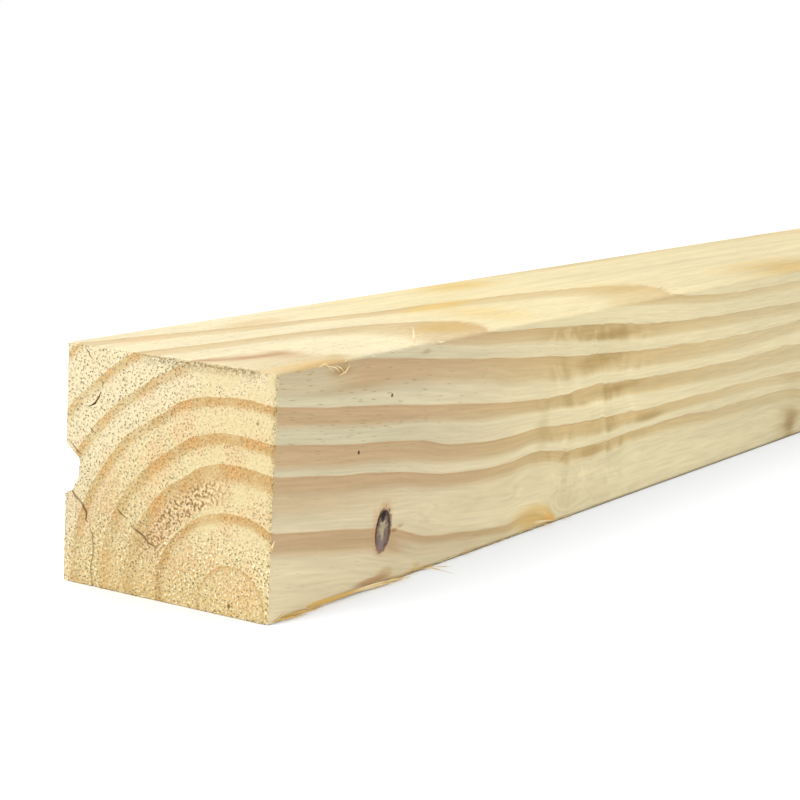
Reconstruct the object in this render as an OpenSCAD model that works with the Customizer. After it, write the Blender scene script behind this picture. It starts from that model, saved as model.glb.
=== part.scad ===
// Sawn softwood batten: one square-edged piece of stock with a chip torn out of its near end,
// drying checks in that end, a dead knot and two pin holes in its near side.
// Near end at -X, near side at -Y, underside on Z = 0, origin under the middle of the piece.

/* [Timber] */
// Length of the piece
timber_length = 1800; // [300:50:6000]
// Width of the section
timber_width = 50; // [36:1:150]
// Height of the section as the piece lies
timber_height = 48; // [36:1:150]
// Width of the flat that the saw leaves on each long arris
arris_flat = 0.5; // [0.1:0.1:3]

/* [Torn chip, in the far side at the near end] */
// Height of the chip's lower lip above the underside
chip_height = 18; // [6:0.5:24]
// Opening of the chip up the side
chip_opening = 10; // [4:0.5:11]
// Depth of the chip into the side at the end
chip_depth = 3.8; // [1:0.1:8]
// Run of the chip along the grain before it feathers out
chip_run = 70; // [10:1:200]

/* [Drying checks, in the near end] */
// Gape of a check at its widest
check_gape = 0.5; // [0.2:0.1:1.5]
// Depth of the checks along the grain
check_depth = 14; // [2:1:60]

/* [Dead knot, in the near side] */
// Distance of the knot from the near end
knot_from_end = 39.5; // [20:0.5:250]
// Height of the knot's middle above the underside
knot_height = 11.5; // [8:0.5:24]
// Diameter of the branch over its bark
knot_diameter = 5.5; // [2:0.1:12]
// Thickness of the bark gap around the knot
knot_bark = 0.45; // [0.2:0.05:0.8]
// Depth of the bark gap below the side
knot_gap_depth = 1.6; // [0.5:0.1:6]
// Angle between the branch and the side, which it leaves outward and up
knot_lean = 38; // [25:1:90]
// Slant of the branch away from the near end
knot_slant = 8; // [0:1:30]

/* [Pin holes, in the near side] */
// Diameter of a pin hole
pin_hole_diameter = 0.8; // [0.4:0.1:3]
// Depth of a pin hole
pin_hole_depth = 3; // [1:0.5:20]

/* [Hidden] */
$fn = 48;

overcut = 1;
near_end = -timber_length / 2;
near_side = -timber_width / 2;
far_side = timber_width / 2;

// Corners of the chip's hollow, as shares of its depth and of its opening
chip_corners = [[0.58, 0.08], [0.9, 0.38], [1, 0.74], [0.37, 0.9]];
// Shares of the run and of the depth where the torn floor of the chip turns outward
chip_knee = [0.45, 0.7];

// Paths of the checks on the end: distance in from the far side, height above the underside
ring_shake = [[1.2, 19.5], [4.2, 16.2], [5.7, 14.4], [7.2, 11], [7.5, 7], [7, 3.8], [7.6, -4]];
ray_check = [[16.6, 13.9], [17.6, 13.4], [19.8, 12.5], [23.6, 10.3]];
short_ray_check = [[13.1, 17], [14.2, 16], [15.8, 15]];
lip_check = [[0.8, 28.6], [2.4, 27.2], [4.2, 26.2]];
earlywood_check = [[5.8, 32.2], [6.6, 31.4], [7.6, 30.8]];
latewood_check = [[8.3, 42.2], [9, 41], [8.2, 38], [5.6, 35.8]];
corner_check = [[4.4, 47.4], [5.4, 46.6], [6.7, 45.2]];
CHECKS = [
    ring_shake,
    ray_check,
    short_ray_check,
    lip_check,
    earlywood_check,
    latewood_check,
    corner_check,
];

// Places of the pin holes: distance from the near end, height above the underside
pin_holes = [[29, 29], [40.5, 39]];

// Unit normal of a path at point i, from the points on either side of it
function path_normal(path, i) =
    let (run = path[min(i + 1, len(path) - 1)] - path[max(i - 1, 0)])
    [-run[1], run[0]] / norm(run);

// Points on one side of a check, which gapes in the middle and closes at its ends
function check_edge(path, side) =
    [for (i = [1 : len(path) - 2]) path[i] + path_normal(path, i) * side * check_gape / 2];

function reversed(list) = [for (i = [len(list) - 1 : -1 : 0]) list[i]];

// Stands a drawing of (distance in from the far side, height) on the near end
module from_near_end(length) {
    translate([near_end - overcut, far_side, 0])
        rotate([90, 0, 90])
            linear_extrude(length + overcut)
                mirror([1, 0])
                    children();
}

module sawn_section() {
    half = timber_width / 2;
    cut = arris_flat / sqrt(2);
    polygon([
        [cut - half, 0],
        [half - cut, 0],
        [half, cut],
        [half, timber_height - cut],
        [half - cut, timber_height],
        [cut - half, timber_height],
        [-half, timber_height - cut],
        [-half, cut],
    ]);
}

module sawn_bar() {
    translate([near_end, 0, 0])
        rotate([90, 0, 90])
            linear_extrude(timber_length)
                sawn_section();
}

module chip_section() {
    hollow = [for (c = chip_corners) [c[0] * chip_depth, chip_height + c[1] * chip_opening]];
    polygon(concat(
        [[-overcut, chip_height]],
        hollow,
        [[-overcut, chip_height + chip_opening]]
    ));
}

// Plan of the chip: it thins along the grain until it runs out at the side
module chip_plan() {
    polygon([
        [near_end - overcut, far_side + overcut],
        [near_end - overcut, far_side - chip_depth],
        [near_end, far_side - chip_depth],
        [near_end + chip_run * chip_knee[0], far_side - chip_depth * chip_knee[1]],
        [near_end + chip_run, far_side],
        [near_end + chip_run, far_side + overcut],
    ]);
}

module torn_chip() {
    intersection() {
        from_near_end(chip_run) chip_section();
        linear_extrude(timber_height) chip_plan();
    }
}

module drying_check(path) {
    last = len(path) - 1;
    from_near_end(check_depth)
        polygon(concat(
            [path[0]],
            check_edge(path, 1),
            [path[last]],
            reversed(check_edge(path, -1))
        ));
}

// Gap left where the bark of a dead branch has shrunk away, down to its depth below the side
module knot_gap() {
    reach = knot_diameter + 2 * timber_width;
    intersection() {
        translate([near_end + knot_from_end, near_side, knot_height])
            rotate([0, knot_slant, 0])
                rotate([knot_lean, 0, 0])
                    difference() {
                        cylinder(d = knot_diameter, h = reach, center = true);
                        cylinder(d = knot_diameter - 2 * knot_bark, h = reach + overcut, center = true);
                    }
        translate([near_end, near_side - overcut, 0])
            cube([timber_length, knot_gap_depth + overcut, timber_height]);
    }
}

module pin_hole(place) {
    translate([near_end + place[0], near_side - overcut, place[1]])
        rotate([-90, 0, 0])
            cylinder(d = pin_hole_diameter, h = pin_hole_depth + overcut);
}

module timber() {
    color("#e6cc9a")
        difference() {
            sawn_bar();
            torn_chip();
            for (path = CHECKS) drying_check(path);
            knot_gap();
            for (place = pin_holes) pin_hole(place);
        }
}

timber();
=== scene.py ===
import math
import random
from functools import partial
import bpy
from mathutils import Euler, Matrix, Vector


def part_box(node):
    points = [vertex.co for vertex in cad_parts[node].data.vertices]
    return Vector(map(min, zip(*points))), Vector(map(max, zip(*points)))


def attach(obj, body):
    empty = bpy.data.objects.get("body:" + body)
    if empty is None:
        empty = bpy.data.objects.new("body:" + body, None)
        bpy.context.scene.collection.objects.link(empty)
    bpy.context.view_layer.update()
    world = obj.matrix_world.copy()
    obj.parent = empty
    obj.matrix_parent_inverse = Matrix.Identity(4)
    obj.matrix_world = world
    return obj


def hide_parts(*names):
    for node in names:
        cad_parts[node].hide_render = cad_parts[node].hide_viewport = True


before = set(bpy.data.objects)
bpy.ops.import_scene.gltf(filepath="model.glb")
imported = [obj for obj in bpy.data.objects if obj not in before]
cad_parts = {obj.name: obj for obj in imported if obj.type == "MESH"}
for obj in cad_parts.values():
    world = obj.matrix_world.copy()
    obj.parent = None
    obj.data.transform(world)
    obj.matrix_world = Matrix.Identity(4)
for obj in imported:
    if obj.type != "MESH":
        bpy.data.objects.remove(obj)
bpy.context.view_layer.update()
timberLow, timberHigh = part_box("timber")
mm = 0.001
timberLength, timberWidth, timberHeight = [round(s / mm, 3) for s in timberHigh - timberLow]


def place(along, across, up):  # mm from the near end, the near side and the underside, to metres
    return timberLow + Vector((along, across, up)) * mm


def spotOf(point):  # the other way round
    return (point - timberLow) / mm


def toLinear(hexColour):  # sRGB hex to the linear colour that shaders take
    channels = [int(hexColour[i:i + 2], 16) / 255 for i in (1, 3, 5)]
    return [c / 12.92 if c <= 0.04045 else ((c + 0.055) / 1.055) ** 2.4 for c in channels] + [1]


def addNode(tree, kind, settings=None, inputs=()):  # its values and links; hex strings turn linear
    node = tree.nodes.new("ShaderNode" + kind)
    for name, value in (settings or {}).items():
        if name == "stops":  # a ramp's positions and colours
            ramp = node.color_ramp.elements
            ramp.remove(ramp[1])
            for i, (position, colour) in enumerate(value):
                stop = ramp.new(position) if i else ramp[0]
                stop.position, stop.color = position, colour
        else:
            setattr(node, name, value)
    for name, value in inputs.items() if isinstance(inputs, dict) else enumerate(inputs):
        if isinstance(value, bpy.types.Node):
            value = next(socket for socket in value.outputs if socket.enabled)
        if isinstance(value, bpy.types.NodeSocket):
            tree.links.new(value, node.inputs[name])
        else:
            node.inputs[name].default_value = toLinear(value) if isinstance(value, str) else value
    return node


# Camera, at the photo's angle: the lens and place come from the batten's own edges in the photo
camera = {
    "lens": 99.36,  # mm on a 36 mm sensor
    "standsAt": (-329.5, -227.8, 115.2),  # mm from the near end, the near side and the floor
    "yaw": 31.41,  # degrees from the batten's length
    "pitch": 10.06,  # degrees down
    "roll": 2.75,
}


def makeCamera():
    yaw, pitch, roll = [math.radians(camera[key]) for key in ("yaw", "pitch", "roll")]
    ahead = Vector((math.cos(yaw) * math.cos(pitch), math.sin(yaw) * math.cos(pitch), -math.sin(pitch)))
    right = Vector((math.sin(yaw), -math.cos(yaw), 0))
    above = right.cross(ahead)
    turnedRight = math.cos(roll) * right + math.sin(roll) * above
    turnedUp = math.cos(roll) * above - math.sin(roll) * right
    bpy.ops.object.camera_add()
    photoCamera = bpy.context.object
    photoCamera.name = "photoCamera"
    photoCamera.data.lens = camera["lens"]
    photoCamera.data.sensor_width = 36
    photoCamera.data.clip_start = 0.01
    axes = Matrix((turnedRight, turnedUp, -ahead)).transposed()
    photoCamera.matrix_world = Matrix.Translation(place(*camera["standsAt"])) @ axes.to_4x4()
    bpy.context.scene.camera = photoCamera
    print("camera made")


# Studio: a pale floor, soft light all round and a large soft key from the upper left
studio = {
    "floorSize": 60,  # m
    "floorColour": "#fbfbfa",
    "skyStrength": 1.06,
    "aimAlong": 60,  # mm from the near end
    "keyFrom": (-1.5, 0.75, 1.5),  # m, from where it aims
    "keySize": 1.2,  # m
    "keyPower": 22,  # W
}


def makeStudio():
    bpy.ops.mesh.primitive_plane_add(size=studio["floorSize"], location=(0, 0, timberLow.z))
    floor = bpy.context.object
    floor.name = "floor"
    paper = bpy.data.materials.new("Matt white paper")  # even and without gloss, so only soft shade shows
    paper.use_nodes = True
    paperShader = paper.node_tree.nodes["Principled BSDF"]
    paperShader.inputs["Base Color"].default_value = toLinear(studio["floorColour"])
    paperShader.inputs["Roughness"].default_value = 1
    paperShader.inputs["Specular IOR Level"].default_value = 0
    floor.data.materials.append(paper)
    world = bpy.data.worlds.new("softbox")
    bpy.context.scene.world = world
    world.use_nodes = True
    sky = world.node_tree.nodes["Background"]
    sky.inputs["Color"].default_value = (1, 1, 1, 1)
    sky.inputs["Strength"].default_value = studio["skyStrength"]
    aim = place(studio["aimAlong"], timberWidth / 2, timberHeight / 2)
    keyPlace = aim + Vector(studio["keyFrom"])
    bpy.ops.object.light_add(type="AREA", location=keyPlace)
    key = bpy.context.object
    key.name = "keyLight"
    key.data.size = studio["keySize"]
    key.data.energy = studio["keyPower"]
    key.rotation_euler = (aim - keyPlace).to_track_quat("-Z", "Y").to_euler()
    bpy.context.scene.view_settings.view_transform = "Standard"
    print("studio made")


# The batten's mesh: a grid that is fine on the near end and coarser along the length
batten = {
    "zones": (280, 3, 0.6),  # mm from the near end
    "rows": 10,  # across each face
    "rowParts": (4, 2, 2),  # each row is cut into so many in each zone
    "lengthParts": (126, 185, 4, 2),  # from the far end to the near one
    "arris": 0.3,  # mm, flat on the long arrises
}


def newMesh(add, **settings):  # a primitive, with nothing else selected and its place in its mesh
    bpy.ops.object.select_all(action="DESELECT")
    add(**settings)
    bpy.ops.object.transform_apply(location=True, rotation=True, scale=True)
    return bpy.context.object


def selectEdges(piece, test):  # by the places of their ends, with nothing else selected
    bpy.ops.object.mode_set(mode="OBJECT")
    spots = [spotOf(v.co) for v in piece.data.vertices]
    for part in (piece.data.vertices, piece.data.polygons):
        part.foreach_set("select", [False] * len(part))
    chosen = [test(*[spots[i] for i in edge.vertices]) for edge in piece.data.edges]
    piece.data.edges.foreach_set("select", chosen)
    bpy.ops.object.mode_set(mode="EDIT")


def isAlong(a, b):  # an edge that follows the length
    return abs(a.x - b.x) > 0.01


def onArris(spot):
    fromSide = min(spot.y, timberWidth - spot.y)
    fromFace = min(spot.z, timberHeight - spot.z)
    return max(fromSide, fromFace) < 0.001


def makeBatten():
    middle = (timberLow + timberHigh) / 2
    piece = newMesh(bpy.ops.mesh.primitive_cube_add, size=1, location=middle, scale=timberHigh - timberLow)
    piece.name = "sawnTimber"
    bpy.context.tool_settings.mesh_select_mode = (False, True, False)
    bpy.ops.object.mode_set(mode="EDIT")
    for zone in batten["zones"]:
        bpy.ops.mesh.select_all(action="SELECT")
        bpy.ops.mesh.bisect(plane_co=place(zone, 0, 0), plane_no=(1, 0, 0))
    selectEdges(piece, lambda a, b: not isAlong(a, b))
    bpy.ops.mesh.subdivide(number_cuts=batten["rows"] - 1)
    zoneEnds = (timberLength,) + batten["zones"] + (0,)
    for far, near, parts in zip(zoneEnds, zoneEnds[1:], batten["lengthParts"]):
        selectEdges(piece, lambda a, b: isAlong(a, b) and near < (a.x + b.x) / 2 < far)
        bpy.ops.mesh.subdivide(number_cuts=parts - 1)
    for zone, parts in zip(batten["zones"], batten["rowParts"]):
        selectEdges(piece, lambda a, b: not isAlong(a, b) and max(a.x, b.x) < zone + 0.01)
        bpy.ops.mesh.subdivide(number_cuts=parts - 1)
    selectEdges(piece, lambda a, b: isAlong(a, b) and onArris(a) and onArris(b))
    bpy.ops.mesh.bevel(offset=batten["arris"] * mm, segments=1, affect="EDGES")
    bpy.ops.object.mode_set(mode="OBJECT")
    print("batten cut into", len(piece.data.polygons), "faces")
    return piece


# What is torn or open: a chip in the far side, checks in the end, a gap round the knot, pin holes
torn = {
    "chipRun": 70,  # mm along the grain
    "chipCorners": ((0, 18), (2.2, 18.8), (3.4, 21.8), (3.8, 25.4), (1.4, 27), (0, 28)),  # in, up
    "chipFloor": ((0, 3.8), (31.5, 2.7), (70, 0)),  # along, in
    "chipRagged": 0.7,  # mm
    "chipVoxel": 0.4,  # mm, of its mesh
    "chipGrain": 1.4,  # mm, size of its torn fibres
    "chipGrainAlong": 14,  # times as long as wide
    "checkDepth": 14,  # mm along the grain
    "checkNarrows": 1.5,  # mm from its ends
    "checkTip": 0.12,  # share of the gape left at its ends
    "checkBack": 0.25,  # share of the gape left at its back
    # gape of each check and its path: in from the far side, up
    "checks": (
        (0.6, ((1.2, 19.5), (2.8, 17.6), (4.6, 16.3), (5.7, 14.6), (5.6, 13.2), (6.3, 12.6))),
        (0.35, ((6.4, 12.3), (7.4, 10.4), (7.6, 7), (7, 3.8), (7.5, 1), (7.4, -3))),
        (0.45, ((16.6, 13.9), (17.6, 13.4), (19.8, 12.5), (21.4, 11.2), (23.6, 10.3))),
        (0.4, ((0.8, 28.6), (2.4, 27.4), (3.2, 26.6), (4.4, 26.1))),
        (0.3, ((8.2, 42.2), (9.1, 41), (8.9, 39.9))),
        (0.5, ((8.7, 39.4), (8.2, 38.2), (7.2, 36.8), (5.6, 35.8))),
        (0.35, ((4.4, 47.4), (5.4, 46.6), (5.8, 45.8), (6.7, 45.2))),
        (0.45, ((13.1, 17), (14.2, 16), (15.8, 15))),
        (0.4, ((5.8, 32.2), (6.6, 31.4), (7.6, 30.8))),
    ),
    "knotAt": (39.5, 11.5),  # along, up
    "knotSize": 5.5,  # mm across its branch
    "knotLean": 38,  # degrees between its branch and the side
    "knotSlant": 8,  # degrees away from the near end
    "knotGap": 0.45,  # mm, where the bark has shrunk
    "knotGapDepth": 2.4,
    "barkGrain": 1.5,  # mm, size of the rough edge round it
    "barkRagged": 0.5,  # mm
    "pinHoles": ((29, 29), (40.5, 39)),  # along, up
    "pinHoleSize": 0.8,
    "pinHoleDepth": 3,
}


def applyModifiers(piece):
    bpy.context.view_layer.objects.active = piece
    for modifier in list(piece.modifiers):
        bpy.ops.object.modifier_apply(modifier=modifier.name)


def addRelief(piece, name, size, strength, group="", along=1, direction="NORMAL", level=0.5):
    clouds = bpy.data.textures.new(name, "CLOUDS")  # lumps of that size, stretched along the grain
    clouds.noise_scale = size * mm
    clouds.noise_depth = 2
    stretch = bpy.data.objects.new(name, None)
    bpy.context.scene.collection.objects.link(stretch)
    stretch.scale.x = along
    bpy.context.view_layer.update()
    relief = piece.modifiers.new(name, "DISPLACE")
    relief.texture = clouds
    relief.texture_coords = "OBJECT"
    relief.texture_coords_object = stretch
    relief.strength = strength * mm
    relief.mid_level = level
    relief.direction = direction
    relief.vertex_group = group
    applyModifiers(piece)
    bpy.data.objects.remove(stretch)


def cutOut(piece, cutter):
    boolean = piece.modifiers.new("cutOut", "BOOLEAN")
    boolean.operation = "DIFFERENCE"
    boolean.solver = "EXACT"
    boolean.object = cutter
    applyModifiers(piece)
    bpy.data.objects.remove(cutter)


def sliceOff(point, outward):  # what lies outside a plane, from the mesh in edit mode
    bpy.ops.mesh.select_all(action="SELECT")
    normal = Vector(outward).normalized()
    bpy.ops.mesh.bisect(plane_co=point, plane_no=normal, use_fill=True, clear_outer=True)


def makeChip():
    corners, floorLine = torn["chipCorners"], torn["chipFloor"]
    middle = place(torn["chipRun"] / 2, timberWidth, (corners[0][1] + corners[-1][1]) / 2)
    size = Vector((torn["chipRun"] + 4, 10, 20)) * mm
    chip = newMesh(bpy.ops.mesh.primitive_cube_add, size=1, location=middle, scale=size)
    bpy.ops.object.mode_set(mode="EDIT")
    for (inA, upA), (inB, upB) in zip(corners, corners[1:]):  # a slice for each side of its section
        sliceOff(place(0, timberWidth - inA, upA), (0, upA - upB, inA - inB))
    for (alongA, inA), (alongB, inB) in zip(floorLine, floorLine[1:]):  # it thins along the grain
        sliceOff(place(alongA, timberWidth - inA, 0), (inA - inB, alongA - alongB, 0))
    bpy.ops.object.mode_set(mode="OBJECT")
    remesh = chip.modifiers.new("fine", "REMESH")
    remesh.mode = "VOXEL"
    remesh.voxel_size = torn["chipVoxel"] * mm
    applyModifiers(chip)
    addRelief(chip, "chipFibres", torn["chipGrain"], torn["chipRagged"], along=torn["chipGrainAlong"])
    return chip


def makeCheck(width, path):  # a blade along the path, thin at its ends and at its back
    start = place(-1, timberWidth - path[0][0], path[0][1])
    check = newMesh(bpy.ops.mesh.primitive_plane_add, size=mm, location=start)
    bpy.context.tool_settings.mesh_select_mode = (True, False, False)
    bpy.ops.object.mode_set(mode="EDIT")
    bpy.ops.mesh.merge(type="CENTER")
    for (inA, upA), (inB, upB) in zip(path, path[1:]):
        step = Vector((0, inA - inB, upB - upA)) * mm
        bpy.ops.mesh.extrude_region_move(TRANSFORM_OT_translate={"value": step})
    bpy.ops.mesh.select_all(action="SELECT")
    into = (torn["checkDepth"] * mm, 0, 0)
    bpy.ops.mesh.extrude_region_move(TRANSFORM_OT_translate={"value": into})
    bpy.ops.object.mode_set(mode="OBJECT")
    gape = check.vertex_groups.new(name="gape")
    ends = [Vector((timberWidth - path[i][0], path[i][1])) for i in (0, -1)]
    for v in check.data.vertices:
        spot = spotOf(v.co)
        fromEnd = min((spot.yz - end).length for end in ends)
        depthShare = 1 if spot.x < 0 else torn["checkBack"]
        gape.add([v.index], min(1, fromEnd / torn["checkNarrows"]) * depthShare, "REPLACE")
    wall = check.modifiers.new("gape", "SOLIDIFY")
    wall.thickness = width * mm
    wall.offset = 0
    wall.vertex_group = "gape"
    wall.thickness_vertex_group = torn["checkTip"]
    applyModifiers(check)
    return check


def makeKnotGap():  # a tube along the branch, where its bark was
    turned = Euler((math.radians(torn["knotLean"]), math.radians(torn["knotSlant"]), 0))
    branch = turned.to_matrix() @ Vector((0, 0, 1))
    foot = place(torn["knotAt"][0], 0, torn["knotAt"][1]) - branch * torn["knotGapDepth"] * mm
    gap = newMesh(bpy.ops.mesh.primitive_circle_add, vertices=40, radius=torn["knotSize"] / 2 * mm,
                  location=foot, rotation=turned)
    bpy.ops.object.mode_set(mode="EDIT")
    bpy.ops.mesh.select_all(action="SELECT")
    out = branch * 4 * torn["knotGapDepth"] * mm
    bpy.ops.mesh.extrude_region_move(TRANSFORM_OT_translate={"value": out})
    bpy.ops.object.mode_set(mode="OBJECT")
    bark = gap.modifiers.new("bark", "SOLIDIFY")
    bark.thickness = torn["knotGap"] * mm
    bark.offset = 0
    applyModifiers(gap)
    addRelief(gap, "barkEdge", torn["barkGrain"], torn["barkRagged"])
    return gap


def makePinHole(along, up):
    return newMesh(bpy.ops.mesh.primitive_cylinder_add, vertices=12, radius=torn["pinHoleSize"] / 2 * mm,
                   depth=2 * torn["pinHoleDepth"] * mm, location=place(along, 0, up),
                   rotation=(math.pi / 2, 0, 0))


def joined(pieces):
    bpy.ops.object.select_all(action="DESELECT")
    for piece in pieces:
        piece.select_set(True)
    bpy.context.view_layer.objects.active = pieces[0]
    bpy.ops.object.join()
    return pieces[0]


# Relief: the rough sawn end, its worn arrises and the ripples of the figured stretch
relief = {
    "endGrain": 0.6,  # mm, size of the lumps on the end
    "endDepth": 0.12,
    "tornGrain": 1.1,  # mm, larger lumps where fibres were torn out
    "tornDepth": 0.5,
    "tornRing": (18, 19.5, 23, 25.5),  # mm from the pith: starts, full, full, ends
    "tornFrom": (8, 14),  # mm from the near side: starts, full
    "arrisGrain": 1.0,
    "arrisDepth": 1.3,
    "arrisReach": 1.2,  # mm from the edge
    "arrisLeast": 0.35,  # share of the wear away from the top corner
    "figure": 9,  # mm, from ripple to ripple
    "figureDepth": 0.2,
    "figuredStretch": (98, 172),  # mm along
}


def smooth(value, low, high):  # 0 at low, 1 at high, with soft ends
    share = min(1, max(0, (value - low) / (high - low)))
    return share * share * (3 - 2 * share)


def weigh(piece, name, weight):  # a vertex group from each vertex's spot
    group = piece.vertex_groups.new(name=name)
    for v in piece.data.vertices:
        amount = weight(spotOf(v.co))
        if amount > 0.001:
            group.add([v.index], amount, "REPLACE")
    return group.name


def onEnd(spot):
    return 1 if spot.x < 0.001 else 0


def tornPlace(spot):  # the torn crescent between the second ring and the third
    fromPith = (Vector((spot.y, spot.z)) - Vector(pine["pith"][0][1:])).length
    starts, inside, outside, ends = relief["tornRing"]
    ring = smooth(fromPith, starts, inside) * (1 - smooth(fromPith, outside, ends))
    return onEnd(spot) * ring * smooth(spot.y, *relief["tornFrom"])


def nearEndArris(spot):  # worn most round the top corner on the near side
    fromEdge = min(spot.y, timberWidth - spot.y, spot.z, timberHeight - spot.z)
    least, reach = relief["arrisLeast"], relief["arrisReach"]
    worn = least + (1 - least) * smooth(spot.z, 10, 44) * (1 - smooth(spot.y, 22, 34))
    return worn * (1 - smooth(max(spot.x, 0), 0, reach)) * (1 - smooth(fromEdge, 0, reach))


def figured(spot):
    low, high = relief["figuredStretch"]
    onSide = spot.y < 0.001
    return onSide * smooth(spot.x, low, low + 15) * (1 - smooth(spot.x, high - 25, high))


def addAllRelief(piece):
    end, tear = weigh(piece, "end", onEnd), weigh(piece, "torn", tornPlace)
    arris, ripples = weigh(piece, "arris", nearEndArris), weigh(piece, "figured", figured)
    addRelief(piece, "endGrain", relief["endGrain"], relief["endDepth"], end, direction="X")
    addRelief(piece, "tornGrain", relief["tornGrain"], relief["tornDepth"], tear, direction="X", level=0.6)
    addRelief(piece, "arrisGrain", relief["arrisGrain"], relief["arrisDepth"], arris, level=1)
    addRelief(piece, "figure", relief["figure"], relief["figureDepth"], ripples)
    bpy.ops.object.select_all(action="DESELECT")
    piece.select_set(True)
    bpy.context.view_layer.objects.active = piece
    bpy.ops.object.shade_smooth_by_angle(angle=math.radians(50))
    print("relief on", len(piece.data.vertices), "vertices")


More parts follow.
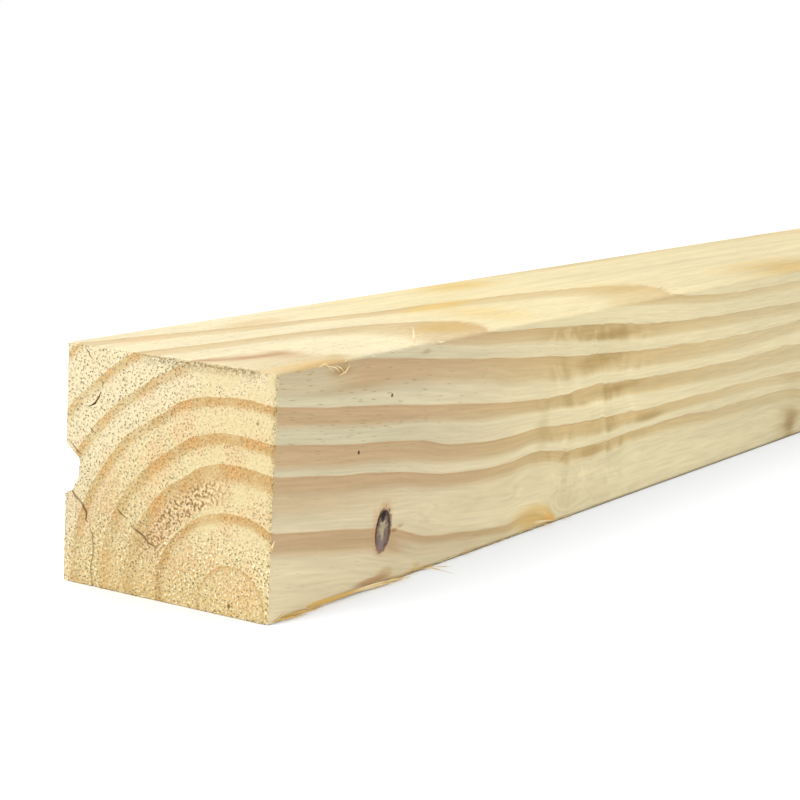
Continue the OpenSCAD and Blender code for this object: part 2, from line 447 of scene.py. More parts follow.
# Sawn pine, bare: pale soft earlywood between darker bands of latewood, pitted and fuzzy on its end
# grain and faintly streaked along its sides, with no gloss
pine = {
    # route of the pith: along, from the near side, up, all in mm
    "pith": (
        (0, 9, 2), (40, 9.3, -4.2), (80, 10, -8.9), (120, 10.7, -11.5), (200, 12.5, -15.5),
        (300, 14, -18), (600, 22, -26), (1000, 28, -30), (1400, 24, -22), (1800, 18, -14),
    ),
    # each ring's outer edge from the pith, depth of its latewood and strength of its colour
    "rings": (
        (8, 3, 0.76), (18, 3.7, 0.95), (25.9, 5.4, 1), (31.8, 4.4, 1), (39, 3.8, 0.98), (45.5, 4.4, 0.95),
        (52, 4, 0.95), (60, 3.4, 0.9), (67, 3, 0.4), (72, 2.6, 0.8), (76, 2.4, 0.8), (79.5, 2, 0.7),
        (83, 2.4, 0.8), (87, 2.2, 0.8), (91, 2, 0.7), (95, 2, 0.8),
    ),
    # how much further out a ring lies above the pith than beside it: distance from the pith, rise at
    # the near end, rise gained along the first 45 mm
    "ringRise": (
        (0, 0, 0), (18, 0, 0), (27, 1.6, 0.3), (41, 1.2, 0.7), (45, 1.2, 2), (50, 2.2, 3.2),
        (57, 1.7, 2.8), (60, 1.2, 1.6), (63, 0.5, 0.2), (70, 0, 0),
    ),
    "taper": 0.012,  # growth of every ring per mm along
    "taperEnds": 250,  # mm from the near end
    # bulges of the rings: along, up, reach along, reach up, height
    "bulges": (
        (43, 24, 22, 11, 0.4), (80, 4, 56, 12, -2.4), (104, 8, 14, 20, 1), (210, 13, 90, 10, 2.5),
        (205, 38, 110, 12, -2.6), (72, 22, 30, 10, -0.8), (108, 36, 34, 12, -0.9),
    ),
    "waver": 9,  # mm, from one waver of the rings to the next
    "fibre": 0.45,  # mm wide, as coarse as it needs to be to show
    "streak": 3.5,  # mm wide
    "stretched": 30,  # times as long as wide, for fibres, streaks and hairs
    "hairHeight": 0.08,  # mm
    "patch": 6,  # mm, size of the patches of tone
    "endFuzz": 0.5,  # mm, size of the fuzz on the end grain
    "endLumps": 0.65,  # mm
    "knotGrain": 0.9,  # mm
    "earlywoodNear": "#d7c7a2",
    "earlywood": "#e0d2a8",
    "earlywoodPaintedShade": "#c9bf9e",  # painted shade: greyer higher up on the near side, near its end
    "latewoodNear": "#b8976e",
    "latewood": "#c3a66d",
    "ringLine": "#ae7f55",
    "ripple": "#a48a54",
    "resin": "#97855a",
    "gold": "#dcb76c",
    "topGold": "#e6cf8e",
    "topPale": "#eadfc2",
    "endEarlywood": "#d9c99b",
    "endEarlywoodDark": "#cfae76",
    "endWarm": "#d8ae7e",
    "endPale": "#e3d9ba",
    "endReddish": "#d6a678",
    "endSmooth": "#d3c294",
    "endGold": "#d6b96f",
    "endLatewood": "#b58b4e",
    "endLatewoodOlive": "#bfa268",
    "endLatewoodOrange": "#c98f45",
    "pit": "#7b6535",
    "tornPit": "#775c2b",
    "speck": "#fff6d6",
    # painted shade along the torn top edge of the near end
    "tornEdgeShadeColour": "#94805a",
    # painted shade where the near side meets the floor
    "paintedContactShadow": "#6d6144",
    "bark": "#35261f",
    # the dead knot, from its halo in: shift along and up, where a layer ends, where it is full, colour,
    # strength, raggedness
    "knotLayers": (
        (-0.3, 0.5, 1.5, 0.95, "#c3946c", 0.55, 0.6), (0, 0, 1.12, 0.98, "#7d5a44", 0.85, 0.4),
        (0, 0.1, 1, 0.88, "#4e3c33", 1, 0.6), (-0.4, -0.7, 0.9, 0.7, "#7c695c", 0.95, 1),
        (-0.5, -2.2, 0.55, 0.2, "#8f7b78", 0.75, 0.8), (-0.4, 0.4, 0.6, 0.2, "#b8ac86", 0.8, 1.4),
        (-0.2, 3, 0.34, 0.22, "#1c1210", 0.9, 0.3),
    ),
    # stains on the near side, and two painted shadows under the torn fibres: along, up, reach along, reach
    # up, colour, strength
    "sideStainsAndShadows": (
        (138, 41.6, 16, 1.8, "#a08348", 0.6), (130, 36, 10, 2.6, "#a08348", 0.5),
        (144, 28, 18, 1.4, "#a08348", 0.55), (162, 18.4, 11, 1.4, "#a08348", 0.6),
        (131, 14.2, 8, 1.6, "#a8884f", 0.5), (106, 22, 4, 6, "#b09a62", 0.35),
        (43.5, 10.8, 1.9, 0.8, "#a06a42", 0.85), (46, 11.3, 2.6, 0.8, "#b08050", 0.7),
        (36.2, 12.4, 1.6, 4.6, "#c58a62", 0.3), (41, 2.4, 3.4, 1.6, "#b08c58", 0.5),
        # the first here is painted shadow under the long splinter low down
        (35, 1.7, 7, 0.8, "#a9794a", 0.7), (53, 1.6, 3, 1.4, "#c9a860", 0.6),
        (103, 2.4, 11, 3.4, "#d3b069", 0.8), (110, 1.2, 4, 1.2, "#dba85a", 0.8),
        # the first here is painted shade under the fuzz at the top corner
        (21.5, 46.2, 6, 2, "#a5854f", 0.75), (53, 46.4, 3, 0.7, "#9a8256", 0.6),
        (256, 4, 16, 14, "#b0925c", 0.6), (257, 3, 7, 6, "#927244", 0.6),
    ),
    # stains on the top: along, from the near side, reach along, reach across, colour, strength
    "topStains": (
        (12, 1.5, 20, 5, "#d6b676", 0.7), (26, 4, 4, 3, "#b59a62", 0.5), (77, 10, 14, 8, "#c9a55c", 0.65),
        (105, 29, 20, 5, "#d6b262", 0.65), (104, 16, 14, 14, "#dfc07a", 0.5),
        (172, 15, 18, 9, "#d0b070", 0.6), (142, 45, 24, 7, "#d9b868", 0.7),
        (50, 41, 16, 4, "#d2ad76", 0.5), (265, 6, 48, 15, "#cfae68", 0.8),
        (14, 42, 12, 4, "#e0bc90", 0.4),
    ),
    "bounce": "#dadada",
    "roughness": 0.85,
    "gloss": 0.25,
}
times, plus, minus, over, multiplyAdd, greater, lesser, length = [{"operation": name} for name in (
    "MULTIPLY", "ADD", "SUBTRACT", "DIVIDE", "MULTIPLY_ADD", "MAXIMUM", "MINIMUM", "LENGTH")]
soft, blend = {"interpolation_type": "SMOOTHSTEP"}, {"data_type": "RGBA"}
rampSpan, riseSpan = 100, 10  # mm that a ramp's full colour stands for


def fromMiddle(add, spot, middle, reach):  # 0 in the middle of an oval, 1 at its rim
    scale = [1 / r if r else 0 for r in reach]
    shift = [-m * s for m, s in zip(middle, scale)]
    oval = add("Mapping", None, {0: spot, 1: shift, 3: scale})
    return add("VectorMath", length, (oval,))


def where(add, *limits):  # share of what is inside every limit: none at its first bound, all at its second
    share = None
    for limit in limits:
        part = add("MapRange", soft, limit) if isinstance(limit, tuple) else limit
        share = add("Math", times, (share, part)) if share else part
    return share


def layered(add, colour, *layers):  # colours laid over what is there, each by its share
    for share, paint in layers:
        colour = add("Mix", blend, {0: share, 6: colour, 7: paint})
    return colour


def ringField(add, along, across, up, spot):  # distance from the pith in ring terms, arc round it, ripples
    share = add("Math", over, (along, timberLength))
    route = [(x / timberLength, (y / rampSpan, z / rampSpan + 0.5, 0, 1)) for x, y, z in pine["pith"]]
    pithPlace = add("ValToRGB", {"stops": route}, (share,))
    pithAcross, pithUp = add("SeparateColor", None, (pithPlace,)).outputs[:2]
    aside = add("Math", multiplyAdd, (pithAcross, -rampSpan, across))
    above = add("Math", multiplyAdd, (pithUp, -rampSpan, add("Math", plus, (up, rampSpan / 2))))
    flatter = where(add, (above, 15, 24, 1, 0.75))  # toward the near side
    aside = add("Math", greater, (aside, where(add, aside, flatter)))
    fromPith = add("CombineXYZ", None, (0, aside, above))
    distance = add("VectorMath", length, (fromPith,))
    arc = add("Math", times, (add("Math", {"operation": "ARCTAN2"}, (aside, above)), distance))

    # rings lie further out above the pith
    steep = add("Math", over, (above, distance))
    rises = [(d / rampSpan, (rise / riseSpan, gain / riseSpan, 0, 1)) for d, rise, gain in pine["ringRise"]]
    riseRamp = add("ValToRGB", {"stops": rises}, (add("Math", over, (distance, rampSpan)),))
    riseHere, riseGain = add("SeparateColor", None, (riseRamp,)).outputs[:2]
    rise = add("Math", multiplyAdd, (riseGain, where(add, (along, -10, 45)), riseHere))
    rise = where(add, rise, (steep, 0.87, 1, 0, riseSpan))
    tapered = add("Math", lesser, (along, pine["taperEnds"]))
    rise = add("Math", multiplyAdd, (tapered, pine["taper"], rise))
    for bulgeAlong, bulgeUp, reachAlong, reachUp, height in pine["bulges"]:
        away = fromMiddle(add, spot, (bulgeAlong, 0, bulgeUp), (reachAlong, 0, reachUp))
        rise = add("Math", multiplyAdd, (where(add, (away, 1, 0.4)), height, rise))
    inner = where(add, (distance, 24, 17, 0, -5))  # the second ring dives past its bulge
    rise = add("Math", multiplyAdd, (inner, where(add, (along, 104, 122)), rise))

    # slow waver along the grain, and ripples in the figured stretch of the near side
    low, high = relief["figuredStretch"]
    figure = where(add, (along, low, low + 15), (along, high, high - 30), (up, 47.5, 44), (across, 20, 8))
    slant = add("Math", multiplyAdd, (up, 0.3, along))
    ripplePlace = add("CombineXYZ", None, (slant, across, add("Math", times, (up, 0.75))))
    ripples = add("TexNoise", None, {"Vector": ripplePlace, "Scale": 1 / relief["figure"], "Detail": 2,
                                     "Distortion": 0.9})
    rippleSize = where(add, add("Math", multiplyAdd, (ripples, 1.6, -0.8)), figure)
    waverPlace = add("Mapping", None, {0: spot, 3: (0.15, 1, 1)})
    waver = add("TexNoise", None, {"Vector": waverPlace, "Scale": 1 / pine["waver"], "Detail": 3})
    radius = add("Math", minus, (distance, rise))
    radius = add("Math", plus, (radius, add("Math", multiplyAdd, (waver, 1.2, -0.6))))
    return add("Math", plus, (radius, rippleSize)), arc, ripples, figure


def ringBands(add, radius):  # shares of latewood on the sides, its dark outer line and latewood on the ends
    bands = None
    for rings in (pine["rings"][:6], pine["rings"][6:11], pine["rings"][11:]):  # a ramp holds 32 stops
        start, stop = rings[0][0] - 1.5 * rings[0][1], rings[-1][0] + 1
        stops = []
        for edge, depth, strength in rings:
            for inward, *shares in ((1.25 * depth, 0, 0, 0), (0.7 * depth, 0.8, 0, 0.56),
                                    (0.4, 0.95, 0.2, 0.9), (0.15, 1, 1, 1), (-0.3, 0, 0, 0)):
                colour = [share * strength for share in shares] + [1]
                stops.append(((edge - inward - start) / (stop - start), colour))
        span = add("MapRange", None, (radius, start, stop))
        ramp = add("ValToRGB", {"stops": stops}, (span,))
        bands = add("VectorMath", greater, (bands, ramp)) if bands else ramp
    return add("SeparateColor", None, (bands,)).outputs


def sideColour(add, along, across, up, spot, radius, arc, ripples, figure, latewood, ringLine, patches,
               fibres, streaks):
    onNearSide = where(add, (across, 3, 1))
    onTop = add("MapRange", None, (up, timberHeight - 0.4, timberHeight - 0.2))
    nearby = where(add, (along, 130, 40), onNearSide)
    golden = where(add, onTop, (along, 60, 110, 0, 0.15))
    paler = where(add, onTop, (along, 95, 50, 0, 0.3))
    # painted shade: the near side greyer higher up, near its end
    paintedShadeHigh = where(add, (along, 120, 15), (up, 4, 36), (across, 1, 0.2))
    side = layered(add, pine["earlywood"], (nearby, pine["earlywoodNear"]), (golden, pine["topGold"]),
                   (paler, pine["topPale"]), (paintedShadeHigh, pine["earlywoodPaintedShade"]))

    # bands of latewood, paler in places and thinned beside the knot and on the top's near corner
    olive = add("Math", greater, (where(add, (along, 40, 130)), where(add, onTop, 0.7)))
    late = layered(add, pine["latewoodNear"], (olive, pine["latewood"]))
    narrowed = add("Math", greater, (where(add, (along, 20, 65)), onTop))  # broader near the end of the sides
    bandFoot = add("Math", multiplyAdd, (narrowed, 0.32, 0.12))
    bandTop = add("Math", multiplyAdd, (narrowed, 0.17, 0.7))
    inBand = add("MapRange", None, (latewood, bandFoot, bandTop, 0, 0.78))
    paleCorner = where(add, (along, 32, 14, 0, 0.6), (up, 42, 43.5), onNearSide)
    # a stretch where the rings fade, also darkened there as painted shade
    paleShadedStretch = where(add, (along, 140, 240, 0, 0.45), (along, 420, 300))
    secondBand = where(add, (radius, 24.4, 22.4), (radius, 18.2, 18.7), (along, 5, 65, 0.35, 0.9))
    firstBand = where(add, (radius, 17.4, 16.4), (along, 42, 52, 0, 0.7))
    thinned = where(add, add("Math", greater, (secondBand, firstBand)), onNearSide)
    cornerLeft, contrast, thinLeft = [
        add("Math", minus, (1, lost)) for lost in (paleCorner, paleShadedStretch, thinned)]
    nearTop = where(add, onTop, (along, 52, 32), (across, 26, 20))
    topLeft, nearTopLeft = [add("MapRange", None, (part, 0, 1, 1, left))
                            for part, left in ((onTop, 0.78), (nearTop, 0.15))]
    lateShare = where(add, inBand, cornerLeft, contrast, topLeft, thinLeft, nearTopLeft)
    lineShare = where(add, nearTop, (along, 27, 20, -0.28, 0.6))
    lineShare = where(add, ringLine, add("Math", plus, (lineShare, 0.28)), contrast)
    side = layered(add, side, (lateShare, late), (lineShare, pine["ringLine"]))

    # fibres and broad streaks that follow the rings, painted shade further along, ripples of light and dark
    # in the figured stretch
    shade = where(add, add("MapRange", None, (fibres, 0.3, 0.7, 0.91, 1.06)),
                  add("MapRange", None, (streaks, 0.3, 0.7, 0.93, 1.06)))
    # painted shade: the sides and top a little darker in the pale stretch further along
    shade = add("Math", minus, (shade, where(add, paleShadedStretch, 0.15)))
    shade = add("Math", plus, (shade, where(add, (ripples, 0.45, 0.28, 0, 0.06), figure)))
    onLatewood = add("MapRange", None, (lateShare, 0.15, 0.6, 0.15, 1))
    rippleDark = where(add, (ripples, 0.46, 0.64, 0, 0.45), figure, onLatewood)

    # short resin streaks, mostly near the end and high on the near side
    resinPlace = add("CombineXYZ", None, (add("Math", times, (along, 1 / 11)), radius, arc))
    resin = add("TexVoronoi", None, {"Vector": resinPlace, "Scale": 2.3})
    resinChance = add("SeparateColor", None, (resin.outputs["Color"],))
    resinShare = where(add, (resin, 0.3, 0.12, 0, 0.6), (along, 95, 30, 0.2, 1), (up, 20, 36, 0.25, 1),
                       (resinChance, 0.8, 0.4))
    side = layered(add, side, (rippleDark, pine["ripple"]), (resinShare, pine["resin"]))

    # stains and two painted shadows, ragged along the grain; a golden rim and painted contact shade low on
    # the near side
    ragged = add("Math", minus, (0.5, streaks))
    stainsAndShadows = [(onNearSide, 2.5, (a, 0, b), (c, 0, d), *look) for a, b, c, d, *look in pine["sideStainsAndShadows"]]
    stainsAndShadows += [(onTop, 1, (a, b, 0), (c, d, 0), *look) for a, b, c, d, *look in pine["topStains"]]
    for onFace, raggedness, middle, reach, colour, strength in stainsAndShadows:
        away = add("Math", multiplyAdd, (ragged, raggedness, fromMiddle(add, spot, middle, reach)))
        side = layered(add, side, (where(add, (away, 1.15, 0.15, 0, strength), onFace), colour))
    lowEdge = where(add, (up, 1.6, 0.2), (patches, 0.42, 0.6), (along, 70, 45, 0.15, 0.8), onNearSide)
    # painted shade: a dark line at the foot of the near side, where it meets the floor
    contactShadowShare = where(add, (up, 1, 0.2), (along, 18, 55, 0, 0.75), onNearSide)
    return layered(add, side, (lowEdge, pine["gold"]), (contactShadowShare, pine["paintedContactShadow"])), shade


def knotColour(add, along, across, up, spot, side):  # a dead branch that leans outward and up
    lean, slant = math.radians(torn["knotLean"]), math.radians(torn["knotSlant"])
    wide = torn["knotSize"] / 2
    high = wide / math.sin(lean)
    outward = add("Math", multiplyAdd, (across, 1 / math.tan(lean), up))
    aslant = add("Math", multiplyAdd, (outward, -math.tan(slant), along))
    branchPlace = add("CombineXYZ", None, (aslant, 0, outward))
    grain = add("TexNoise", None, {"Vector": spot, "Scale": 1 / pine["knotGrain"], "Detail": 3})
    shallow = where(add, (across, 12, 6))
    for shiftAlong, shiftUp, ends, full, colour, strength, ragged in pine["knotLayers"]:
        knotAlong, knotUp = torn["knotAt"][0] + shiftAlong, torn["knotAt"][1] + shiftUp
        middle = (knotAlong - knotUp * math.tan(slant), 0, knotUp)
        away = fromMiddle(add, branchPlace, middle, (wide, 0, high))
        away = add("Math", plus, (away, add("Math", multiplyAdd, (grain, ragged, -ragged / 2))))
        side = layered(add, side, (where(add, (away, ends, full, 0, strength), shallow), colour))
    for holeAlong, holeUp in torn["pinHoles"]:
        away = fromMiddle(add, spot, (holeAlong, 0, holeUp), (1, 0, 1))
        inHole = where(add, (away, 0.5, 0.3, 0, 0.9), (across, 4, 3.2))
        side = layered(add, side, (inHole, pine["bark"]))
    return side


def endColour(add, along, across, up, spot, radius, latewood, patches):
    onNearEnd = add("MapRange", None, (along, 20, 10))  # the far end is plain
    ragged = add("Math", multiplyAdd, (patches, 16, -8))
    smoothPart = where(add, (add("Math", plus, (across, ragged)), 25, 12),
                       (add("Math", minus, (up, ragged)), 13, 19), (patches, 0.6, 0.44, 0.15, 1))
    fuzz = add("TexNoise", None, {"Vector": spot, "Scale": 1 / pine["endFuzz"], "Detail": 2})
    lumps = add("TexNoise", None, {"Vector": spot, "Scale": 1 / pine["endLumps"], "Detail": 2})
    coarse = where(add, (add("Math", multiplyAdd, (across, -0.5, up)), 14, -6, 0.35, 1))
    fuzzDark = where(add, add("MapRange", None, (fuzz, 0.52, 0.34)), coarse)
    warm, pale = where(add, (patches, 0.42, 0.68, 0, 0.42)), where(add, (radius, 33, 44, 0, 0.5))
    reddish = where(add, (fromMiddle(add, spot, (0, 5, 7), (0, 4, 6)), 1, 0.2, 0, 0.4))
    golden = where(add, (up, 15, 0.5), (fuzz, 0.35, 0.6, 0.55, 0.1))
    end = layered(add, pine["endEarlywood"], (fuzzDark, pine["endEarlywoodDark"]), (warm, pine["endWarm"]),
                  (pale, pine["endPale"]), (where(add, smoothPart, 0.75), pine["endSmooth"]),
                  (reddish, pine["endReddish"]), (golden, pine["endGold"]))

    # bands of latewood, rough at their edges and faded in two corners
    olive, orange = where(add, (across, 20, 40)), where(add, (patches, 0.48, 0.64, 0, 0.55))
    late = layered(add, pine["endLatewood"], (olive, pine["endLatewoodOlive"]),
                   (orange, pine["endLatewoodOrange"]))
    roughEdge = add("Math", multiplyAdd, (fuzz, 0.5, add("Math", minus, (latewood, 0.25))))
    lowerLeft = where(add, (up, 18, 4), (across, 27, 36, 0, 0.4))
    upperRight = where(add, (across, 24, 18, 0, 0.85), (radius, 40, 41.5))
    unfaded = add("Math", minus, (1, add("Math", greater, (lowerLeft, upperRight))))
    lateShare = where(add, (roughEdge, 0.58, 0.74, 0, 0.88), (patches, 0.34, 0.5, 0.7, 1), unfaded,
                      add("MapRange", None, (fuzz, 0.3, 0.65, 1, 0.7)))

    # pits of the resin canals, thick in the earlywood and few in the latewood and on the smooth part
    facePlace = add("CombineXYZ", None, (across, up, 0))
    facePlace = add("VectorMath", multiplyAdd, (fuzz.outputs["Color"], (0.9,) * 3, facePlace))
    pits = add("TexVoronoi", {"voronoi_dimensions": "2D"}, {"Vector": facePlace, "Scale": 1.35})
    isPit = where(add, (pits, 0.27, 0.1))
    chance = add("SeparateColor", None, (pits.outputs["Color"],))
    chance = add("Math", multiplyAdd, (latewood, 0.4, chance))
    chance = add("Math", plus, (chance, add("MapRange", None, (patches, 0.35, 0.65, -0.3, 0.3))))
    pitShare = where(add, isPit, (chance, 0.75, 0.25), add("MapRange", None, (smoothPart, 0, 1, 0.85, 0.1)))

    # the torn crescent, lumpy with dark pits
    crescent = where(add, (radius, 18.4, 19.4), (radius, 24.6, 22.6), (across, 7, 17), (up, 6, 12), onNearEnd)
    lumpPit = where(add, (lumps, 0.51, 0.4, 0, 0.95), crescent)
    lumpTop = where(add, (lumps, 0.56, 0.7, 0, 0.4), crescent)
    lowPit = where(add, (lumps, 0.44, 0.34, 0, 0.6), coarse)
    end = layered(add, end, (lateShare, late), (pitShare, pine["pit"]),
                  (where(add, crescent, 0.5), pine["endWarm"]), (lumpPit, pine["tornPit"]),
                  (lumpTop, pine["speck"]), (lowPit, pine["endEarlywoodDark"]))

    # bright specks low down, painted shade grey and dashed along the torn top edge, dark at the right edge
    # and the pith
    specks = where(add, (fuzz, 0.56, 0.68, 0, 0.9), (up, 24, 6, 0.4, 1),
                   add("MapRange", None, (latewood, 0, 1, 1, 0.3)),
                   add("MapRange", None, (smoothPart, 0, 1, 1, 0.5)))
    # painted shade: grey dashes along the top edge of the end, where its arris is torn back
    tornEdgePaintedShade = where(add, (up, 45.4, 47.8), (across, 3, 6), (across, 36, 26), (fuzz, 0.6, 0.4, 0.2, 0.95),
                    onNearEnd)
    rightEdge = where(add, (across, 1, 0.3), (fuzz, 0.44, 0.36, 0, 0.7))
    atPith = where(add, (fromMiddle(add, spot, (0, 9.2, 2.2), (0, 0.55, 0.55)), 1, 0.4), onNearEnd)
    end = layered(add, end, (specks, pine["speck"]), (tornEdgePaintedShade, pine["tornEdgeShadeColour"]), (rightEdge, pine["pit"]),
                  (atPith, pine["pit"]))
    rough = where(add, lumps, add("MapRange", None, (coarse, 0.35, 1, 0, 0.7)))
    fuzzHeight = where(add, fuzz, add("MapRange", None, (smoothPart, 0, 1, 0.4, 0.2)))
    pitDepth = where(add, isPit, add("MapRange", None, (smoothPart, 0, 1, -0.2, -0.06)))
    return end, add("Math", plus, (pitDepth, add("Math", plus, (fuzzHeight, rough))))


def makePine():
    material = bpy.data.materials.new("Sawn pine")
    material.use_nodes = True
    tree = material.node_tree
    tree.nodes.clear()
    add = partial(addNode, tree)
    coords = add("TexCoord")
    spot = add("VectorMath", multiplyAdd, (coords.outputs["Object"], (1 / mm,) * 3, -timberLow / mm))  # mm
    along, across, up = add("SeparateXYZ", None, (spot,)).outputs
    radius, arc, ripples, figure = ringField(add, along, across, up, spot)
    fibrePlace = add("CombineXYZ", None, (add("Math", times, (along, 1 / pine["stretched"])), radius, arc))
    fibres = add("TexNoise", None, {"Vector": fibrePlace, "Scale": 1 / pine["fibre"], "Detail": 3})
    streaks = add("TexNoise", None, {"Vector": fibrePlace, "Scale": 1 / pine["streak"], "Detail": 3})
    feather = where(add, add("Math", minus, (fibres, 0.5)), (along, 60, 150, 0.4, 1.3))
    latewood, ringLine, endLatewood = ringBands(add, add("Math", plus, (radius, feather)))
    patches = add("TexNoise", None, {"Vector": spot, "Scale": 1 / pine["patch"], "Detail": 2})
    side, shade = sideColour(add, along, across, up, spot, radius, arc, ripples, figure, latewood, ringLine,
                             patches, fibres, streaks)
    side = knotColour(add, along, across, up, spot, side)
    side = add("VectorMath", {"operation": "SCALE"}, {0: side, "Scale": shade})
    end, endHeight = endColour(add, along, across, up, spot, radius, endLatewood, patches)
    fromEnd = add("Math", lesser, (along, add("Math", minus, (timberLength, along))))
    facing = add("SeparateXYZ", None, (coords.outputs["Normal"],)).outputs["X"]
    facing = add("Math", {"operation": "ABSOLUTE"}, (facing,))
    atEnd = where(add, add("MapRange", None, (fromEnd, 2.5, 2)), add("MapRange", None, (facing, 0.35, 0.6)))

    # the light it throws on the floor stays white, as in the photo
    bounced = where(add, add("LightPath").outputs["Is Diffuse Ray"], (across, 3, 1))
    colour = layered(add, side, (atEnd, end), (bounced, pine["bounce"]))

    # relief too fine to model, in mm
    hairPlace = add("Mapping", None, {0: spot, 3: (1 / pine["stretched"], 1, 1)})
    hairs = add("TexNoise", None, {"Vector": hairPlace, "Scale": 1 / pine["fibre"], "Detail": 2})
    height = add("Mix", None, {0: atEnd, 2: where(add, hairs, pine["hairHeight"]), 3: endHeight})
    bump = add("Bump", None, {"Distance": mm, "Height": height})
    shader = add("BsdfPrincipled", None, {"Base Color": colour, "Roughness": pine["roughness"],
                                          "Specular IOR Level": pine["gloss"], "Normal": bump})
    add("OutputMaterial", None, (shader,))
    print("pine made with", len(tree.nodes), "nodes")
    return material


# Torn fibre: splinters still hanging on the arrises and fine fuzz along them
splinters = {
    # half the width at the root, then spots from root to tip: along, from the near side, up
    "strands": (
        (0.5, ((5, 0.6, 1.2), (16, 0, 1), (27, -0.3, 0.9), (36, -0.6, 1), (41, -1.1, 0.9),
               (46.5, -2.2, 0.6))),
        (0.4, ((34, -0.2, 0.6), (43, -0.7, 0.5), (48.5, -1.7, 0.4))),
        (0.35, ((26, -0.2, 0.9), (36, -0.6, 0.6), (42, -1.5, 0.5))),
        (0.16, ((55, 0, 0.6), (57.4, -1.2, 0.4), (57.6, -3.4, 0.3), (56.7, -7.3, 0.3))),
        (0.13, ((57, 0, 0.5), (60, -1.8, 0.3), (62, -3.6, 0.3))),
        (0.4, ((102, 0.4, 1.5), (107, -0.1, 1.4), (111, -0.3, 1.1), (115, -0.6, 0.6))),
        (0.3, ((4, 0, 0.9), (10, -0.6, 0.7), (15, -1.3, 0.5))),
        (0.25, ((1, 0, 0.6), (6, -0.7, 0.5), (11, -1.6, 0.4))),
        (0.17, ((13, 0.1, 47.6), (15, -0.6, 48.3), (17.3, -0.8, 46.6), (18.5, -0.5, 45.7))),
        (0.14, ((16, 0.1, 47.8), (18.2, -0.9, 47.2), (19.8, -0.9, 46))),
        (0.18, ((20.8, 0.1, 45.2), (21.6, -0.9, 46), (22.8, -0.9, 47), (24.4, 0, 47.9))),
        (0.12, ((19, 0.1, 47.6), (20.5, -0.7, 46.8), (21.4, -0.7, 45.8))),
        (0.55, ((48.9, 0.4, 47), (48.6, 0.3, 48.4), (48.1, 0.2, 49.8), (47.5, 0, 51.2),
                (46.9, -0.1, 52.2))),
        (0.35, ((0.5, 0.2, 14.2), (0, -0.3, 15.4), (0.4, -0.6, 16.6))),
    ),
    # fuzz: how many, start and end of its line, length, lean along, outward to the near side, up
    "fuzz": (
        (70, (1, 0, 0.5), (120, 0, 0.5), 4, (1, -0.16, 0)),
        (16, (1, 0.1, 47.9), (60, 0.1, 47.9), 2, (1, -0.25, 0.1)),
        (18, (0.2, 0.3, 1.5), (0.2, 0.3, 40), 0.5, (-0.6, -0.4, 0)),
        (30, (0.2, 2, 0.5), (0.2, 48, 0.5), 0.8, (-1, 0, 0.15)),
        (20, (0.2, 8, 47.6), (0.2, 46, 47.6), 0.6, (-0.8, 0, 0.5)),
    ),
    "fuzzWide": 0.09,  # mm
    "fuzzScatter": 0.25,  # mm off its line
    "fuzzTurn": 0.16,  # how far its lean varies
    "fuzzLowest": 0.15,  # mm above the floor
    "flatness": 0.5,  # of a strand, across
    "rootWide": 0.25,  # shares of its width at root and tip
    "tipWide": 0.08,
    "streak": 1.5,  # mm wide
    "streakAlong": 12,  # times as long as wide
    "seed": 11,
    "pale": "#f6e9c4",
    "golden": "#d0a95f",
}


def makeStrand(halfWidth, spots):  # a thin prism along its spots, narrowing to a point
    points = [place(*spot) for spot in spots]
    turned = (points[1] - points[0]).to_track_quat("Z", "Y").to_euler()
    strand = newMesh(bpy.ops.mesh.primitive_circle_add, vertices=6, radius=halfWidth * mm, fill_type="NGON",
                     location=points[0], rotation=turned)
    bpy.ops.object.mode_set(mode="EDIT")
    bpy.ops.mesh.select_all(action="SELECT")
    wide = splinters["rootWide"]
    bpy.ops.transform.resize(value=(1, splinters["flatness"], 1))
    bpy.ops.transform.resize(value=(wide,) * 3)
    for i, (a, b) in enumerate(zip(points, points[1:])):
        bpy.ops.mesh.extrude_region_move(TRANSFORM_OT_translate={"value": b - a})
        nextWide = max(splinters["tipWide"], 1 - i / (len(points) - 2))
        bpy.ops.transform.resize(value=(nextWide / wide,) * 3)
        wide = nextWide
    bpy.ops.mesh.select_all(action="SELECT")
    bpy.ops.mesh.normals_make_consistent(inside=False)
    bpy.ops.object.mode_set(mode="OBJECT")
    return strand


def makeFuzz():  # three-sided spikes in one mesh
    chance = random.Random(splinters["seed"])
    corners, faces = [], []
    scatter, lowest = splinters["fuzzScatter"], splinters["fuzzLowest"]
    for count, start, end, longest, lean in splinters["fuzz"]:
        start, end, lean = Vector(start), Vector(end), Vector(lean)
        for i in range(count):
            root = start.lerp(end, chance.random())
            root += Vector([chance.uniform(-scatter, scatter) for axis in range(3)])
            reach = lean + Vector([chance.gauss(0, splinters["fuzzTurn"]) for axis in range(3)])
            tip = root + reach.normalized() * longest * chance.uniform(0.3, 1.2)
            aside = reach.orthogonal().normalized() * splinters["fuzzWide"] * chance.uniform(0.6, 1.3)
            other = reach.cross(aside).normalized() * aside.length
            tip.z, root.z = max(tip.z, lowest), max(root.z, lowest)
            first = len(corners)
            foot = (root + aside, root - aside / 2 + other, root - aside / 2 - other)
            corners += [place(*corner) for corner in foot + (tip,)]
            faces += [(first + a, first + b, first + 3) for a, b in ((0, 1), (1, 2), (2, 0))]
    mesh = bpy.data.meshes.new("fuzz")
    mesh.from_pydata(corners, [], faces)
    fuzz = bpy.data.objects.new("fuzz", mesh)
    bpy.context.scene.collection.objects.link(fuzz)
    return fuzz


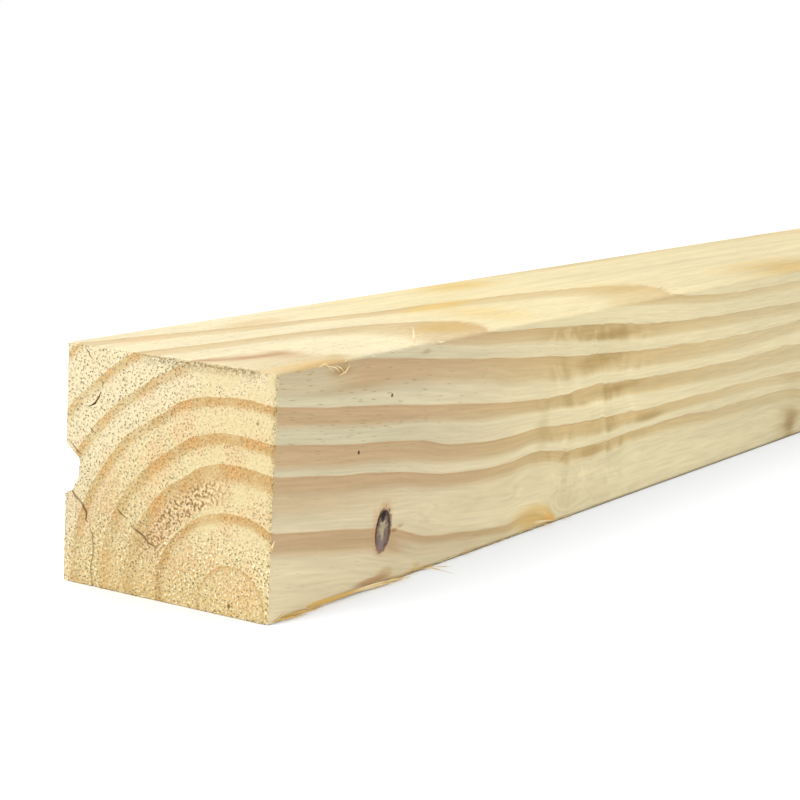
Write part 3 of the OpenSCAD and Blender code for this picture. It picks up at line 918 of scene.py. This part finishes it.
def makeSplinters():
    piece = joined([makeStrand(*strand) for strand in splinters["strands"]] + [makeFuzz()])
    piece.name = "tornFibre"
    fibre = bpy.data.materials.new("Torn pine fibre")  # paler than the sawn face, streaked, matt
    fibre.use_nodes = True
    tree = fibre.node_tree
    tree.nodes.clear()
    add = partial(addNode, tree)
    coords = add("TexCoord").outputs["Object"]
    along, _, height = add("SeparateXYZ", None, (coords,)).outputs
    streakPlace = add("Mapping", None, {0: coords, 3: (1 / splinters["streakAlong"], 1, 1)})
    streakScale = 1 / (splinters["streak"] * mm)
    streaks = add("TexNoise", None, {"Vector": streakPlace, "Scale": streakScale, "Detail": 2})
    streaked = where(add, (streaks, 0.52, 0.7, 0, 0.5))
    lowDown = where(add, (height, 6 * mm, 2 * mm, 0, 0.5))
    tangle = where(add, (along, place(34, 0, 0).x, place(26, 0, 0).x, 0, 0.5))  # near the end
    golden = add("Math", plus, (add("Math", plus, (streaked, lowDown)), tangle))
    colour = layered(add, splinters["pale"], (golden, splinters["golden"]))
    shader = add("BsdfPrincipled", None, {"Base Color": colour, "Roughness": pine["roughness"],
                                          "Specular IOR Level": pine["gloss"]})
    add("OutputMaterial", None, (shader,))
    piece.data.materials.clear()
    piece.data.materials.append(fibre)
    print("splinters made,", len(piece.data.polygons), "faces")
    return piece


# Map for the baked texture: most of it goes to the end and the first stretch, which show the most
bakeMap = {
    "size": 1024,
    "stretch": 280,  # mm from the near end
    "endZone": 3,  # mm, as far as an end's faces lie
    "chipZone": 5,  # mm from the far side
    "arrisZone": 0.6,  # mm below a face
    "wallRun": 20,  # mm
    # left, bottom, width and height of each face
    "nearEnd": (8, 560, 456, 438),
    "farEnd": (480, 560, 150, 144),
    "walls": (650, 560, 200, 200),
    "nearSide": (8, 8, 980, 168),
    "top": (8, 184, 980, 175),
    "farSide": (8, 367, 476, 82),
    "underside": (500, 367, 476, 85),
    "nearSideRest": (8, 460, 972, 19),
    "topRest": (8, 485, 972, 20),
    "farSideRest": (8, 511, 972, 19),
    "undersideRest": (8, 536, 972, 20),
}


def bakeFace(centre, normal):  # the part of the map that a face goes to
    if centre.x < bakeMap["endZone"] and normal.x < -0.7:
        return "nearEnd"
    if centre.x > timberLength - bakeMap["endZone"] and normal.x > 0.7:
        return "farEnd"
    inChip = centre.y > timberWidth - bakeMap["chipZone"] and normal.y > 0.1
    fromFaces = min(centre.y, timberWidth - centre.y, centre.z, timberHeight - centre.z)
    if fromFaces > bakeMap["arrisZone"] and not inChip:
        return "walls"
    if inChip or abs(normal.y) > abs(normal.z):
        name = "nearSide" if normal.y < 0 else "farSide"
    else:
        name = "underside" if normal.z < 0 else "top"
    return name + ("Rest" if centre.x > bakeMap["stretch"] else "")


def addBakeMap(piece):
    mesh, flat = piece.data, []
    spots = [spotOf(v.co) for v in mesh.vertices]
    stretch, size = bakeMap["stretch"], bakeMap["size"]
    for face in mesh.polygons:
        name = bakeFace(spotOf(face.center), face.normal)
        left, bottom, wide, high = bakeMap[name]
        for i in face.vertices:
            spot = spots[i]
            u, v = spot.x / stretch, spot.z / timberHeight
            if name.endswith("End"):
                u = spot.y / timberWidth
            elif name == "walls":
                u = spot.x / bakeMap["wallRun"]
            elif name.startswith(("top", "underside")):
                v = spot.y / timberWidth
            if name.endswith("Rest"):
                u = (spot.x - stretch) / (timberLength - stretch)
            u, v = min(1, max(0, u)), min(1, max(0, v))
            flat += [(left + u * wide) / size, (bottom + v * high) / size]
    mesh.uv_layers.new(name="OFBake").data.foreach_set("uv", flat)
    print("map for baking laid out")


makeCamera()
makeStudio()
timber = makeBatten()
cutOut(timber, joined([makeChip(), makeKnotGap()] + [makePinHole(*hole) for hole in torn["pinHoles"]]))
cutOut(timber, joined([makeCheck(*check) for check in torn["checks"]]))
addAllRelief(timber)
timber.data.materials.append(makePine())
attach(timber, "root")
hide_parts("timber")
addBakeMap(timber)
fibres = makeSplinters()
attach(fibres, "root")
